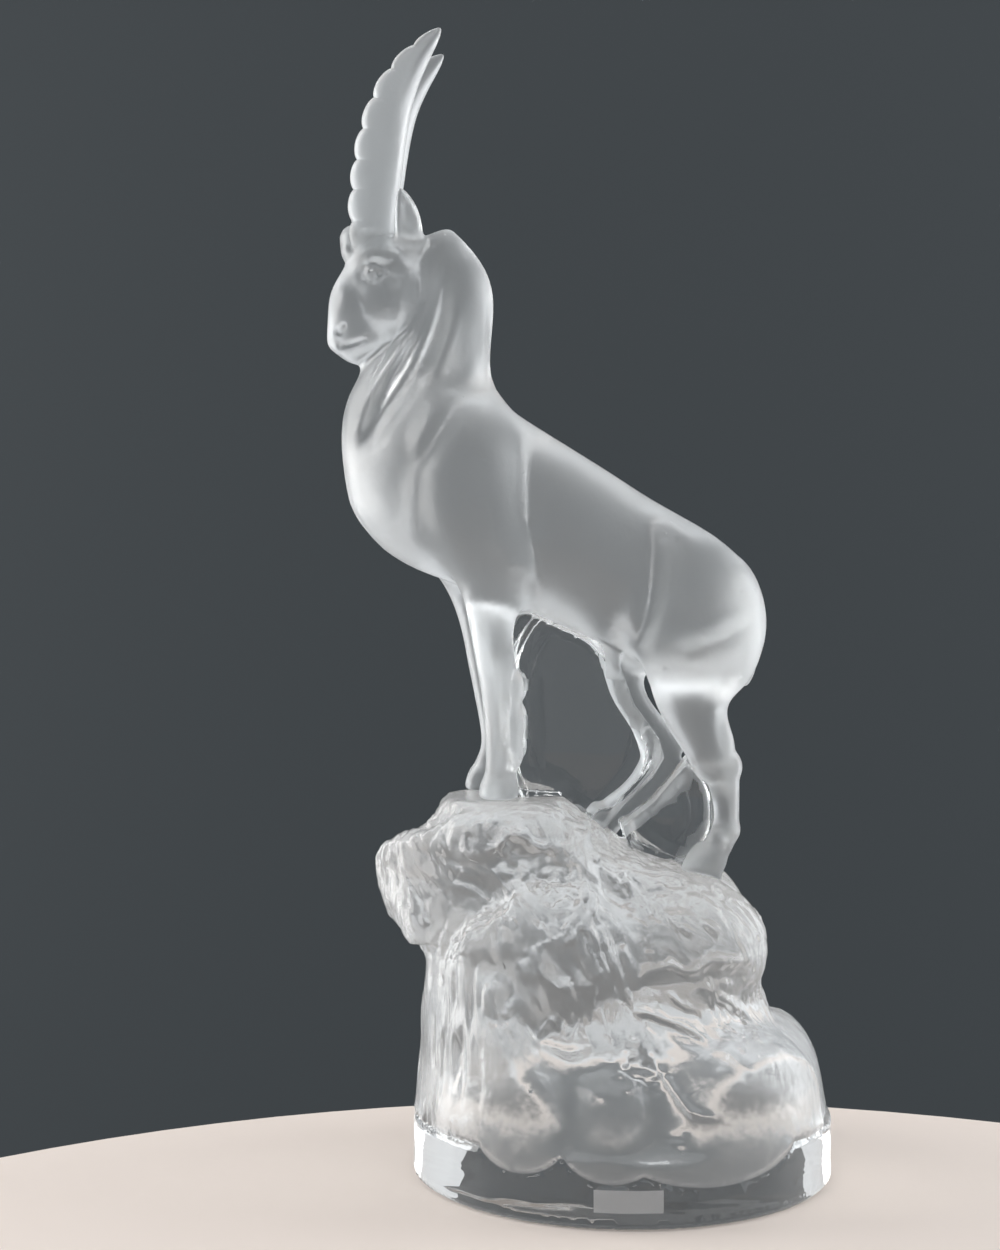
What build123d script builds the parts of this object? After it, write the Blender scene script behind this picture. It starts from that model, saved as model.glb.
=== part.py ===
"""Crystal figurine: an ibex standing on a crag, on a round clear base.

The real object is one casting. Its sculpted forms are kept here as separate closed solids that meet face to
face, so that each can be named, finished and weighed by itself. Millimetres, +Z up, the origin at the centre of
the face that it stands on. The ibex looks along -X, so its left side is at -Y.
"""
from build123d import *
import os
from math import copysign, cos, degrees, pi, radians, sin

# ---------------------------------------------------------------- driving dimensions

BASE_DIAMETER = 86.0
BASE_HEIGHT = 12.0
BASE_BEVEL = 0.8            # ground edge where the base meets the table

ROCK_HEIGHT = 65.0          # from the base's top to the ledge under the fore hooves
ROCK_INSET = 0.4            # the rock's foot stands this far inside the base's wall
ROCK_ROUGHNESS = 0.035      # share by which the crag's corners stand in or out
ROCK_CORNERS = 16
ROCK_SQUARENESS = 0.8       # 1 makes the rock's outlines ellipses, and less makes them blockier
CRAG_REACH = 50.5           # how far the crag's nose hangs out from the middle
SUMMIT_MARGIN = 31.1        # the upper rock is set out from a circle this much wider than the legs' spread
LIP_SIZE = (30.0, 18.0, 12.0)       # the slab along the ledge's front edge
HOLLOW_SIZE = (24.0, 12.0, 13.0)    # the scoop under that slab
SWELL_SIZE = (40.0, 16.0, 34.0)     # the belly of the rock under the scoop

TORSO_WIDTH = 33.0
NECK_WIDTH = 21.0
HEAD_WIDTH = 15.0
LEG_SPREAD = 23.0           # between the centres of the left and right legs
SHOULDER_INSET = 5.0        # the shoulder's and the haunch's middles lie this far inside the torso's side
FORE_CANNON = 7.8           # front to back
HIND_CANNON = 5.6
HOOF_LENGTH = 8.4
HOOF_SINK = 4.0             # a hoof is drawn this far into the rock before the rock cuts it

HORN_ROOT = 8.6             # front to back
HORN_THICKNESS = 6.0        # side to side at the root
HORN_ROOT_SPREAD = 8.4
HORN_TIP_SPREAD = 19.0
HORN_KNOBS = 7
KNOB_SIZE = 4.6
FIRST_KNOB = 0.6            # the lowest knob's place up the horn, in stations

EAR_WIDTH = 6.6
EAR_THICKNESS = 2.6
EYE_DIAMETER = 2.6

WEB_THICKNESS = 15.0        # the clear crystal left between the legs
WEB_DISH = 2.5              # how deep each side of it is hollowed

LABEL_WIDTH = 13.0
LABEL_HEIGHT = 4.2
LABEL_FILM = 0.12
LABEL_ANGLE = -91.7         # where its middle sits round the base, in degrees from +X

# ---------------------------------------------------------------- what follows from them

base_radius = BASE_DIAMETER / 2
foot_radius = base_radius - ROCK_INSET
ledge = BASE_HEIGHT + ROCK_HEIGHT      # the ibex is placed from this height
leg_y = LEG_SPREAD / 2
summit_radius = leg_y + SUMMIT_MARGIN
shoulder_y = TORSO_WIDTH / 2 - SHOULDER_INSET
SMALLEST_SHARE = 0.02                  # a cut's offcuts under this share of its main solid are dropped
SIDES = {"left": -1, "right": 1}

parts = {}


def limb(stations):
    """A solid through ellipses: (x, y, height above the ledge, depth in side view, width across) for each."""
    centres = [Vector(x, y, ledge + z) for x, y, z, depth, width in stations]
    last = len(centres) - 1
    sections = []
    for i, (x, y, z, depth, width) in enumerate(stations):
        along = centres[min(i + 1, last)] - centres[max(i - 1, 0)]
        plane = Plane(origin=centres[i], x_dir=(0, 1, 0), z_dir=(along.X, 0, along.Z))
        sections.append(plane * Ellipse(width / 2, depth / 2))
    return loft(sections)


def ellipsoid(centre, size):
    """A sphere stretched to size, with its middle at centre."""
    return Pos(*centre) * scale(Sphere(0.5), by=tuple(size))


def main_solids(shape):
    """The shape's solids, without the offcuts that a cut leaves behind."""
    solids = sorted(shape.solids(), key=lambda s: s.volume, reverse=True)
    return [s for s in solids if s.volume > SMALLEST_SHARE * solids[0].volume]


def cut(shape, *larger):
    """The shape without what its larger neighbours take up."""
    for other in larger:
        for solid in other.solids():
            shape = shape - solid
    return Compound(main_solids(shape))


def keep(name, shape):
    """Files a finished form under its node's name."""
    parts[name] = shape
    return shape


# ---------------------------------------------------------------- base and rock

base_wall = Pos(0, 0, BASE_HEIGHT / 2) * Cylinder(base_radius, BASE_HEIGHT)
base_disc = keep("base_disc", chamfer(base_wall.edges().group_by(Axis.Z)[0], BASE_BEVEL))


def rock_ring(share, wall, left, right, near, far):
    """The rock's cornered outline at a share of its height. Each side stands so far in from a round wall."""
    middle_x = (left - right) / 2
    middle_y = (near - far) / 2
    reach_x = wall - (left + right) / 2
    reach_y = wall - (near + far) / 2
    corners = []
    for i in range(ROCK_CORNERS):
        angle = 2 * pi * i / ROCK_CORNERS
        roughness = 1 + ROCK_ROUGHNESS * sin(2.4 * i + 9 * share)
        across = copysign(abs(cos(angle)) ** ROCK_SQUARENESS, cos(angle))
        deep = copysign(abs(sin(angle)) ** ROCK_SQUARENESS, sin(angle))
        corners.append((middle_x + roughness * reach_x * across, middle_y + roughness * reach_y * deep))
    return Plane.XY.offset(BASE_HEIGHT + share * ROCK_HEIGHT) * make_face(Polyline(*corners, close=True))


mould_height = 0.56 * ROCK_HEIGHT      # the mould's round wall holds the rock in up to here
mould = Pos(0, 0, BASE_HEIGHT + mould_height / 2) * Cylinder(foot_radius, mould_height)
mould_block = Pos(0, 0, BASE_HEIGHT + mould_height / 2) * Cylinder(2 * base_radius, mould_height)

rock_core = loft(
    [
        rock_ring(0.00, foot_radius, 0.0, 0.0, 0.0, 0.0),
        rock_ring(0.12, foot_radius, 1.6, 4.1, 7.1, 6.6),
        rock_ring(0.25, foot_radius, 2.1, 10.6, 10.1, 9.6),
        rock_ring(0.40, foot_radius, 2.1, 13.6, 12.1, 11.6),
        rock_ring(0.56, foot_radius, 1.6, 16.6, 14.1, 13.6),
        rock_ring(0.71, summit_radius, 1.1, 22.1, 17.1, 16.6),
        rock_ring(0.78, summit_radius, 0.6, 29.1, 18.1, 18.1),
        rock_ring(0.85, summit_radius, 0.6, 42.1, 20.1, 20.6),
        rock_ring(1.00, summit_radius, 5.6, 54.6, 24.6, 25.1),
    ],
    ruled=True,
)
rock_core = rock_core + ellipsoid((-22.0, 27.4 - summit_radius, ledge - 6.0), LIP_SIZE)
rock_core = rock_core + ellipsoid((-14.0, 18.6 - summit_radius, ledge - 32.0), SWELL_SIZE)
rock_core = rock_core - ellipsoid((-33.0, 13.6 - summit_radius, ledge - 16.5), HOLLOW_SIZE)
keep("rock_core", cut(rock_core, mould_block - mould))


def crag_ring(x, near, far, bottom, top):
    """A five-cornered section of the crag's nose, facing along X."""
    corners = [(near, bottom + 3), (0, bottom), (far, bottom + 4), (far * 0.8, top - 1), (near * 0.9, top)]
    placed = [(x, y, ledge + z) for y, z in corners]
    return make_face(Polyline(*placed, close=True))


crag = loft(
    [
        crag_ring(20.5 - CRAG_REACH, -20.0, 18.0, -34.0, -1.5),
        crag_ring(7.5 - CRAG_REACH, -17.0, 15.0, -31.0, -7.0),
        crag_ring(2.0 - CRAG_REACH, -12.0, 10.0, -24.0, -11.0),
        crag_ring(-CRAG_REACH, -6.0, 5.0, -19.0, -13.0),
    ],
    ruled=True,
)
keep("rock_crag", cut(crag, parts["rock_core"]))

ridge = ellipsoid((foot_radius - 32.6, 26.6 - foot_radius, ledge - 29.0), (36.0, 26.0, 30.0))
keep("rock_ridge", cut(ridge, parts["rock_core"]))

shoulder_rock = ellipsoid((foot_radius - 25.6, 3.0, ledge - 30.0), (21.0, 36.0, 30.0))
keep("rock_shoulder", cut(shoulder_rock, parts["rock_core"], parts["rock_ridge"]))

# Boulders round the foot, each held in by the mould's wall:
# (degrees round from +X, its middle's distance in from the wall, height above the base, size in x, y and z)
FOOT_BOULDERS = {
    "buttress_rock": (-152.6, 12.2, 10.0, 34.0, 44.0, 62.0),
    "front_boulder_small": (-125.5, 8.2, 4.0, 22.0, 26.0, 27.0),
    "front_boulder_middle": (-97.6, 12.3, 4.0, 20.0, 24.0, 25.0),
    "front_boulder_large": (-48.0, 15.7, 5.0, 42.0, 42.0, 36.0),
    "end_boulder": (7.4, 11.3, 4.0, 22.0, 36.0, 32.0),
    "back_boulder": (71.6, 17.3, 5.0, 46.0, 34.0, 36.0),
    "back_buttress": (142.4, 9.8, 8.0, 30.0, 38.0, 50.0),
}
rock = [parts["rock_core"], parts["rock_crag"], parts["rock_ridge"], parts["rock_shoulder"]]
for name, (turn, inset, height, *size) in FOOT_BOULDERS.items():
    reach = foot_radius - inset
    middle = (reach * cos(radians(turn)), reach * sin(radians(turn)), BASE_HEIGHT + height)
    boulder = ellipsoid(middle, size) & mould
    rock.append(keep(name, cut(boulder, *rock)))

# ---------------------------------------------------------------- body

torso = keep("torso", limb([
    (-51.0, 0, 68.5, 14.0, 11.0),
    (-46.0, 0, 66.9, 27.0, 24.0),
    (-37.6, 0, 65.2, 38.0, 0.97 * TORSO_WIDTH),
    (-25.1, 0, 59.6, 36.5, TORSO_WIDTH),
    (-8.5, 0, 50.7, 34.0, 0.97 * TORSO_WIDTH),
    (4.6, 0, 44.0, 31.5, 0.90 * TORSO_WIDTH),
    (16.4, 0, 38.2, 28.0, 0.84 * TORSO_WIDTH),
    (23.2, 0, 34.2, 17.5, 0.62 * TORSO_WIDTH),
    (26.8, 0, 32.0, 8.0, 0.30 * TORSO_WIDTH),
]))

neck = limb([
    (-41.0, 0, 114.5, 13.0, 0.60 * NECK_WIDTH),
    (-37.4, 0, 107.5, 18.0, 0.75 * NECK_WIDTH),
    (-36.6, 0, 98.0, 20.0, 0.82 * NECK_WIDTH),
    (-38.4, 0, 89.0, 23.4, 0.95 * NECK_WIDTH),
    (-41.0, 0, 80.5, 31.0, 1.05 * NECK_WIDTH),
    (-41.2, 0, 72.0, 33.5, 1.15 * NECK_WIDTH),
    (-39.8, 0, 64.0, 33.5, 1.15 * NECK_WIDTH),
    (-38.0, 0, 57.0, 27.0, 0.95 * NECK_WIDTH),
    (-36.6, 0, 51.5, 14.0, 0.60 * NECK_WIDTH),
])


def mane_groove(side):
    """A soft groove down the neck's side, from behind the ear to the breast."""
    half = side * NECK_WIDTH / 2
    return limb([
        (-36.3, 1.07 * half, 109.0, 8.0, 8.0),
        (-39.0, 1.04 * half, 98.0, 10.0, 8.0),
        (-43.5, 1.08 * half, 88.0, 10.0, 8.0),
        (-49.0, 1.18 * half, 78.5, 10.0, 8.0),
        (-53.0, 1.14 * half, 71.0, 7.0, 8.0),
    ])


for side in SIDES.values():
    neck = neck - mane_groove(side)
keep("neck", cut(neck, torso))

head = limb([
    (-46.5, 0, 115.5, 10.0, 0.60 * HEAD_WIDTH),
    (-48.3, 0, 110.0, 17.5, HEAD_WIDTH),
    (-50.4, 0, 104.2, 17.5, 0.97 * HEAD_WIDTH),
    (-52.9, 0, 99.6, 17.0, 0.85 * HEAD_WIDTH),
    (-54.9, 0, 95.8, 14.0, 0.72 * HEAD_WIDTH),
    (-57.2, 0, 92.6, 9.5, 0.60 * HEAD_WIDTH),
    (-58.3, 0, 91.0, 6.0, 0.45 * HEAD_WIDTH),
])
for side in SIDES.values():
    head = head + ellipsoid((-51.6, side * 0.44 * HEAD_WIDTH, ledge + 109.0), [EYE_DIAMETER] * 3)
head = head + ellipsoid((-55.5, 0, ledge + 115.0), (6.0, 9.0, 6.5))     # the curly knot on the brow
keep("head", cut(head, parts["neck"]))

beard = limb([
    (-51.0, 0, 95.0, 6.4, 6.5),
    (-51.0, 0, 89.5, 6.0, 6.0),
    (-51.8, 0, 85.5, 5.4, 5.0),
    (-53.0, 0, 81.5, 4.0, 3.4),
])
keep("beard", cut(beard, parts["head"], parts["neck"]))

tail = limb([
    (23.5, 0, 41.5, 4.5, 5.5),
    (26.2, 0, 37.5, 4.5, 5.5),
    (27.2, 0, 32.0, 4.0, 5.0),
    (26.6, 0, 26.0, 3.4, 4.5),
    (25.2, 0, 22.0, 2.0, 2.5),
])

# Horn stations: (x, height above the ledge, share of the root's depth, share of the way from root to tip)
HORN_STATIONS = [
    (-51.6, 113.0, 0.97, 0.0),
    (-51.2, 119.0, 1.00, 0.06),
    (-50.2, 126.0, 1.08, 0.18),
    (-49.4, 132.0, 1.14, 0.32),
    (-48.3, 138.0, 1.10, 0.48),
    (-46.8, 143.0, 0.98, 0.64),
    (-44.4, 147.5, 0.84, 0.77),
    (-41.6, 151.5, 0.66, 0.88),
    (-38.9, 154.7, 0.42, 0.97),
    (-37.4, 156.3, 0.16, 1.00),
]


def horn(side):
    """A blade-like horn that leans back and out, with knobs down its front edge."""
    stations = []
    for x, z, depth, outward in HORN_STATIONS:
        spread = HORN_ROOT_SPREAD + outward * (HORN_TIP_SPREAD - HORN_ROOT_SPREAD)
        thickness = HORN_THICKNESS * min(1.0, depth) * (1 - 0.3 * outward)
        stations.append((x, side * spread / 2, z, HORN_ROOT * depth, thickness))
    blade = limb(stations)
    for i in range(HORN_KNOBS):
        place = FIRST_KNOB + i * (len(stations) - 2 - FIRST_KNOB) / HORN_KNOBS
        low = int(place)
        between = zip(stations[low], stations[low + 1])
        x, y, z, depth, width = [a + (place - low) * (b - a) for a, b in between]
        knob = ellipsoid((x - 0.42 * depth, y, ledge + z), (0.8 * KNOB_SIZE, 0.8 * width, KNOB_SIZE))
        blade = blade + knob
    return blade


def ear(side):
    """A leaf-shaped ear standing up behind the horn."""
    root_y = side * 0.4 * HEAD_WIDTH
    return limb([
        (-44.0, root_y, 109.0, 0.55 * EAR_WIDTH, EAR_THICKNESS),
        (-43.6, root_y + side * 1.3, 113.5, 0.95 * EAR_WIDTH, EAR_THICKNESS),
        (-43.9, root_y + side * 2.2, 118.0, EAR_WIDTH, 0.9 * EAR_THICKNESS),
        (-44.8, root_y + side * 2.9, 122.0, 0.70 * EAR_WIDTH, 0.7 * EAR_THICKNESS),
        (-45.8, root_y + side * 3.3, 125.4, 0.20 * EAR_WIDTH, 0.4 * EAR_THICKNESS),
    ])


for name, side in SIDES.items():
    keep(f"horn_{name}", cut(horn(side), parts["head"], parts["neck"]))
    keep(f"ear_{name}", cut(ear(side), parts["head"], parts["neck"], parts[f"horn_{name}"]))

# ---------------------------------------------------------------- legs

# How far the right fore leg stands ahead of the left one, down from the shoulder to the hoof.
RIGHT_FORE_LEAD = (0, 0, 2.0, 3.5, 2.8, 2.0, 2.0, 1.6, 1.0, 1.4, 2.6)


def fore_leg(side):
    """From the shoulder blade down to the pastern."""
    y = side * leg_y
    shoulder = side * shoulder_y
    stations = [
        (-31.5, shoulder * 0.85, 79.0, 9.0, 7.0),
        (-32.5, shoulder * 0.95, 70.0, 18.0, 13.5),
        (-31.0, shoulder * 1.00, 60.0, 21.0, 14.5),
        (-27.8, shoulder * 1.02, 50.0, 17.0, 12.5),
        (-26.9, y * 1.00, 41.0, 12.2, 9.6),
        (-26.6, y * 0.98, 32.0, 9.0, 8.2),
        (-25.8, y * 0.96, 26.5, 1.06 * FORE_CANNON, 8.0),
        (-24.8, y * 0.96, 19.0, FORE_CANNON, 7.0),
        (-24.3, y * 0.96, 12.0, FORE_CANNON, 6.8),
        (-24.7, y * 0.97, 8.0, 0.86 * FORE_CANNON, 6.6),
        (-25.0, y * 0.98, 4.0, 0.94 * FORE_CANNON, 7.0),
    ]
    if side == SIDES["right"]:
        stations = [(x - lead, *rest) for lead, (x, *rest) in zip(RIGHT_FORE_LEAD, stations)]
    return limb(stations)


def hoof(x, y, z, toe_lean):
    """A cloven hoof's block. (x, y, z) is the middle of its top, and toe_lean how far forward its sole is."""
    return limb([
        (x, y, z, 0.84 * HOOF_LENGTH, 0.86 * HOOF_LENGTH),
        (x - 0.5 * toe_lean, y, z - 2.0, 0.95 * HOOF_LENGTH, 0.92 * HOOF_LENGTH),
        (x - toe_lean, y, z - 4.0, HOOF_LENGTH, 0.95 * HOOF_LENGTH),
        (x - toe_lean, y, z - 4.0 - HOOF_SINK, HOOF_LENGTH, 0.95 * HOOF_LENGTH),
    ])


def thigh(name, side):
    """From the hip down to the hock."""
    if name == "left":
        return limb([
            (13.4, side * 0.83 * shoulder_y, 50.5, 9.0, 6.0),
            (14.8, side * 0.94 * shoulder_y, 45.5, 17.5, 12.0),
            (16.0, side * 0.97 * shoulder_y, 41.5, 21.5, 13.8),
            (16.4, side * shoulder_y, 37.5, 24.0, 14.5),
            (15.2, side * 1.03 * shoulder_y, 30.5, 24.5, 14.0),
            (14.6, side * 1.03 * leg_y, 25.0, 21.0, 12.5),
            (14.0, side * leg_y, 19.5, 15.0, 10.5),
            (15.6, side * 0.97 * leg_y, 14.0, 11.4, 9.0),
            (17.8, side * 0.96 * leg_y, 9.0, 9.8, 8.0),
            (19.4, side * 0.96 * leg_y, 5.0, 8.0, 7.4),
        ])
    return limb([
        (15.0, side * 0.78 * shoulder_y, 49.5, 8.0, 6.0),
        (12.0, side * 0.96 * shoulder_y, 42.0, 20.0, 13.5),
        (6.0, side * 0.98 * shoulder_y, 34.5, 18.0, 13.0),
        (1.6, side * 0.96 * leg_y, 28.0, 10.5, 10.5),
        (2.0, side * 0.92 * leg_y, 22.0, 7.0, 8.5),
        (5.0, side * 0.89 * leg_y, 16.5, 6.0, 7.6),
        (8.6, side * 0.87 * leg_y, 11.4, 7.4, 7.4),
        (11.4, side * 0.87 * leg_y, 7.0, 8.4, 7.4),
    ])


def hind_cannon(name, side):
    """From the hock down to the pastern."""
    if name == "left":
        return limb([
            (19.0, side * 0.96 * leg_y, 7.5, 6.5, 7.0),
            (20.1, side * 0.96 * leg_y, 3.5, 1.15 * HIND_CANNON, 6.8),
            (20.6, side * 0.96 * leg_y, -1.5, 0.95 * HIND_CANNON, 6.0),
            (20.4, side * 0.96 * leg_y, -5.5, 0.95 * HIND_CANNON, 6.0),
            (18.8, side * 0.96 * leg_y, -9.5, 1.05 * HIND_CANNON, 6.6),
            (17.2, side * 0.96 * leg_y, -12.5, 1.05 * HIND_CANNON, 6.4),
        ])
    return limb([
        (13.4, side * 0.87 * leg_y, 6.8, 5.0, 6.0),
        (10.4, side * 0.87 * leg_y, 4.4, 8.0, 6.8),
        (6.8, side * 0.87 * leg_y, 0.8, 1.30 * HIND_CANNON, 6.2),
        (2.8, side * 0.87 * leg_y, -2.6, 1.18 * HIND_CANNON, 6.2),
        (-0.6, side * 0.87 * leg_y, -5.0, 1.20 * HIND_CANNON, 6.8),
        (-2.8, side * 0.87 * leg_y, -6.4, 1.10 * HIND_CANNON, 6.4),
    ])


HOOF_TOPS = {
    ("fore", "left"): (-25.0, 0.98 * leg_y, 4.6, 0.4),
    ("fore", "right"): (-27.8, 0.98 * leg_y, 4.6, 0.8),
    ("hind", "left"): (18.0, 0.96 * leg_y, -10.0, 2.4),
    ("hind", "right"): (-2.0, 0.87 * leg_y, -4.4, 2.4),
}
body = [torso, parts["neck"]]
keep("tail", cut(tail, torso))
for name, side in SIDES.items():
    for pair in ("fore", "hind"):
        x, y, z, toe_lean = HOOF_TOPS[pair, name]
        keep(f"{pair}_hoof_{name}", cut(hoof(x, side * y, z, toe_lean), *rock))
    keep(f"fore_leg_{name}", cut(fore_leg(side), *body, *rock, parts[f"fore_hoof_{name}"]))
    keep(f"thigh_{name}", cut(thigh(name, side), *body, parts["tail"]))
    cannon = cut(hind_cannon(name, side), parts[f"thigh_{name}"])
    keep(f"hind_leg_{name}", cut(cannon, *rock, parts[f"hind_hoof_{name}"]))

# ---------------------------------------------------------------- clear crystal between the legs


def web(outline):
    """A slab in the middle plane, hollowed on both sides. Its outline is (x, height above the ledge)."""
    placed = [(x, 0, ledge + z) for x, z in outline]
    slab = extrude(make_face(Polyline(*placed, close=True)), WEB_THICKNESS / 2, dir=(0, 1, 0), both=True)
    low_x, high_x = min(x for x, z in outline), max(x for x, z in outline)
    low_z, high_z = min(z for x, z in outline), max(z for x, z in outline)
    middle = ((low_x + high_x) / 2, ledge + (low_z + high_z) / 2)
    size = (high_x - low_x, 2 * WEB_DISH, high_z - low_z)
    for side in SIDES.values():
        slab = slab - ellipsoid((middle[0], side * WEB_THICKNESS / 2, middle[1]), size)
    return slab


limbs = [shape for name, shape in parts.items() if name.startswith(("fore_", "hind_", "thigh_"))]
front_web = web([
    (-25.0, -1.0),
    (-25.0, 42.0),
    (0.0, 36.0),
    (-0.5, 27.0),
    (2.4, 19.0),
    (7.4, 12.0),
    (8.4, 8.0),
    (6.0, 4.0),
    (0.0, -2.0),
    (-5.0, -8.0),
    (-8.0, -6.0),
])
keep("web_front", cut(front_web, *body, *limbs, *rock))
rear_web = web([
    (0.0, -6.0),
    (6.5, -1.0),
    (15.0, 9.0),
    (20.0, 6.0),
    (20.5, -8.0),
    (18.0, -16.0),
    (2.0, -14.0),
])
keep("web_rear", cut(rear_web, *body, *limbs, *rock, parts["web_front"]))

# ---------------------------------------------------------------- blank stock label on the base's wall

label_turn = degrees(LABEL_WIDTH / base_radius)
label_outline = Pos(base_radius + LABEL_FILM / 2, 0) * Rectangle(LABEL_FILM, LABEL_HEIGHT)
label = revolve(Plane.XZ * label_outline, Axis.Z, label_turn)
label = Pos(0, 0, BASE_HEIGHT / 2 - 0.6) * Rot(0, 0, LABEL_ANGLE - label_turn / 2) * label
keep("stock_label", label)

os.makedirs("parts", exist_ok=True)
for name, shape in parts.items():
    export_step(shape, f"parts/{name}.step")
    print(name, len(shape.solids()), round(shape.volume))
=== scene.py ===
"""A crystal glass figurine: a satin-frosted ibex on a crag, on a clear round base, put together piece by piece.

Blender works in metres. The casting's forms are modelled in millimetres and turned into metres when they are meshed.
"""
import math

import bpy
import numpy as np
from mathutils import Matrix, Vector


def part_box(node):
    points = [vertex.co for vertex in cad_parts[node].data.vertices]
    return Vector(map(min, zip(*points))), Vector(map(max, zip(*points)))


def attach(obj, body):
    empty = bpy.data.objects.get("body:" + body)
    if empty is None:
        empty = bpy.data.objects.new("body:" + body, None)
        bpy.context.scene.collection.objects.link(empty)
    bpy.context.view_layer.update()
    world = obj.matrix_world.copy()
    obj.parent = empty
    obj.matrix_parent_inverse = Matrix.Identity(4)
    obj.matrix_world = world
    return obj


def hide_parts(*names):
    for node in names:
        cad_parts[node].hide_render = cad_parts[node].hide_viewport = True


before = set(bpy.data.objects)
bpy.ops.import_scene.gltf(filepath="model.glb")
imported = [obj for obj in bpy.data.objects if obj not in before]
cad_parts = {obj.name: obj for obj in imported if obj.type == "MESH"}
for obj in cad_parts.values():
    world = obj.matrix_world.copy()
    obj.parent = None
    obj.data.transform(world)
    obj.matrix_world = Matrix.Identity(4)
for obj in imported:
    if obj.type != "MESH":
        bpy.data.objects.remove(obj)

import openvdb
from mathutils import Vector

MM = 0.001
bpy.context.view_layer.update()

# ---------------------------------------------------------------- camera
# It stands level with the ibex's belly, square to its left side and as far off as a person leaning in to look.

LENS = 54.8
EYE_INSIDE = 0.0179         # from the base's left edge
EYE_AWAY = 0.352            # from the front of the base's wall
EYE_ABOVE_BELLY = 0.0096

base_low, base_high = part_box("base_disc")
torso_low, torso_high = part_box("torso")
camera_data = bpy.data.cameras.new("camera")
camera_data.lens = LENS
camera = bpy.data.objects.new("camera", camera_data)
camera.location = (base_low.x + EYE_INSIDE, base_low.y - EYE_AWAY, torso_low.z + EYE_ABOVE_BELLY)
camera.rotation_euler = (math.radians(90), 0, 0)
bpy.context.scene.collection.objects.link(camera)
bpy.context.scene.camera = camera

# ---------------------------------------------------------------- rock and base
# The crag and the round base are one casting of lead crystal. The rock was sculpted in the mould and its skin is
# etched satin; the base's wall and underside are ground and polished clear.

ROCK_STEP = 0.42     # distance between the points that the rock's form is worked out at
ROCK_CLAY = 3.0             # how far its forms run into one another
ROCK_POLISH = 0.9
PLAIN_RIM_RISE = 0.6        # the rock's edge above the base's top, where no lobe hangs over it
LOBE_SPRING = 3.5           # a lobe's round edge starts this far above the base's top
LOBE_EDGE = (0.35, 0.5)     # the groove along that edge: how deep, and half its width
WALL_INSET = 0.1            # the rock's own wall lies this far inside the base's
WALL_RISE = 36              # the mould's round wall reaches this far above the base's top
LOW_LOBES = [               # where the rock hangs down the base's wall: (degrees round, half its width, lowest point)
    (-150, 15, 14.3),
    (-121, 13, 9.0),
    (-96, 13, 8.4),
    (-68, 27, 7.3),
    (-22, 22, 13.0),
    (18, 22, 12.5),
    (62, 24, 11.5),
    (104, 20, 12.5),
    (142, 21, 11.5),
    (178, 18, 12.0),
]


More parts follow.
